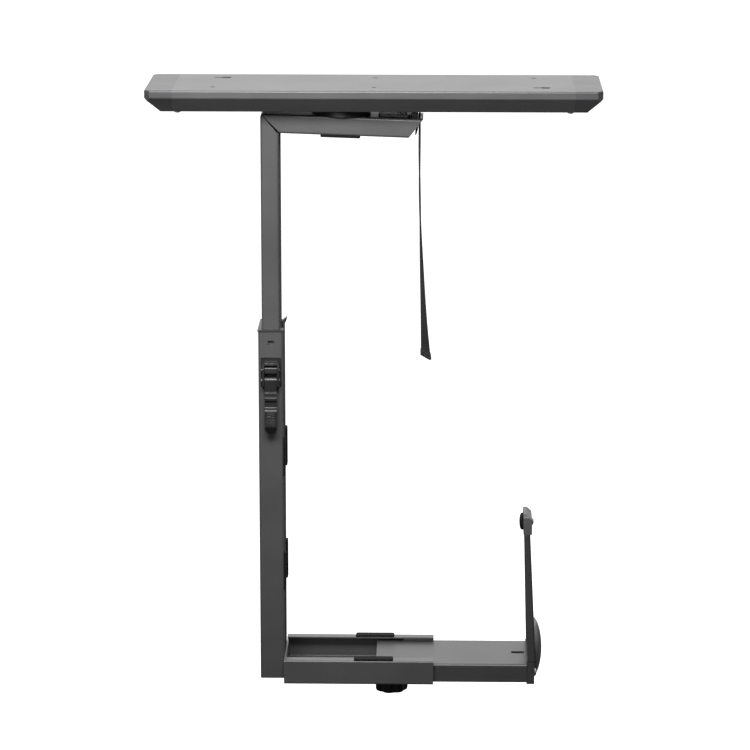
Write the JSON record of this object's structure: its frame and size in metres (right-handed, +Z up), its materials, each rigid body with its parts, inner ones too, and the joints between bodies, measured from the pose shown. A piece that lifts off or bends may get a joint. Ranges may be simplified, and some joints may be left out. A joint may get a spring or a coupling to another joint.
{
  "type": "under-desk computer holder",
  "caption": "Under-desk computer holder: slotted rail, swivelling channel frame adjustable in height with a lever lock, and a sliding base tray with clamp arm, lock knob and hanging strap.",
  "frame": {"origin": "centre of the rail's top face, which lies against the underside of the desk", "axes": "+Z up towards the desk, +X along the rail to the right, +Y away from the viewer who faces the lever"},
  "size_m": [0.444, 0.1168, 0.6235],
  "materials": {
    "powder_coat": "fine satin powder coat",
    "black_plastic": "fine moulded texture",
    "black_steel": "black coated steel",
    "zinc_steel": "zinc plated",
    "rubber": "matt",
    "nylon": "natural nylon",
    "brass": "turned",
    "webbing": "woven strap"
  },
  "bodies": {
    "rail": {"rail": "powder_coat", "end_cap_left": "black_plastic", "end_cap_right": "black_plastic", "cap_screws": "zinc_steel", "stop_bumpers": "rubber"},
    "carriage": {"carriage_plate": "black_steel", "glide_shoes": "nylon", "top_glides": "nylon", "swivel_race": "black_steel", "race_rivets": "zinc_steel", "swivel_bearing": "nylon", "pivot_bolt": "zinc_steel", "pivot_washer": "zinc_steel", "pivot_nut": "zinc_steel"},
    "upper_bracket": {"swivel_hub": "black_steel", "upper_bracket": "powder_coat", "hub_screws": "zinc_steel", "hub_seat": "black_steel", "swivel_latch": "black_steel", "latch_rivets": "zinc_steel", "arm_edge_pads": "rubber", "tube_foot": "black_plastic", "strap_clamp": "black_plastic", "strap_screws": "zinc_steel", "strap": "webbing"},
    "lower_frame": {"sleeve": "powder_coat", "sleeve_liner": "black_plastic", "sleeve_pads": "rubber", "sleeve_foot": "black_plastic", "base_channel": "powder_coat", "base_end_plate": "powder_coat", "base_pads": "rubber", "base_glides": "black_plastic", "lock_bracket": "black_steel", "lever_pin": "black_steel", "rocker_pin": "black_steel"},
    "pressure_rocker": {"pressure_rocker": "black_steel"},
    "cam_lever": {"cam_lever": "black_steel"},
    "extension": {"extension_tray": "powder_coat", "stud_plate": "black_steel", "knob_stud": "zinc_steel", "stud_washer": "zinc_steel", "clamp_arm": "powder_coat", "clamp_foot": "powder_coat", "clamp_rivets": "zinc_steel", "clamp_apron": "powder_coat", "clamp_head": "black_plastic", "bumper_pad": "rubber"},
    "lock_knob": {"lock_knob": "black_plastic", "knob_insert": "brass"}
  },
  "joints": [
    {"name": "carriage_slide", "type": "slide", "parent": "rail", "child": "carriage", "axis": [1, 0, 0], "range_m": [-0.1, 0.165]},
    {"name": "swivel", "type": "hinge", "parent": "carriage", "child": "upper_bracket", "pos_m": [-0.0325, 0, -0.0249], "axis": [0, 0, 1], "continuous": true},
    {"name": "height_slide", "type": "slide", "parent": "upper_bracket", "child": "lower_frame", "axis": [0, 0, 1], "range_m": [0, 0.18]},
    {"name": "lever_hinge", "type": "hinge", "parent": "lower_frame", "child": "cam_lever", "pos_m": [-0.10225, -0.0315, -0.2934], "axis": [-1, 0, 0], "range_deg": [0, 115]},
    {"name": "rocker_hinge", "type": "hinge", "parent": "lower_frame", "child": "pressure_rocker", "pos_m": [-0.10225, -0.0292, -0.2835], "axis": [-1, 0, 0], "range_deg": [0, 2.3]},
    {"name": "tray_slide", "type": "slide", "parent": "lower_frame", "child": "extension", "axis": [1, 0, 0], "range_m": [-0.079, 0]},
    {"name": "knob_turn", "type": "hinge", "parent": "extension", "child": "lock_knob", "pos_m": [0.017, 0, -0.61], "axis": [0, 0, 1], "continuous": true}
  ],
  "couplings": [
    {"joint": "rocker_hinge", "follows": "lever_hinge", "ratio": 0.02}
  ]
}
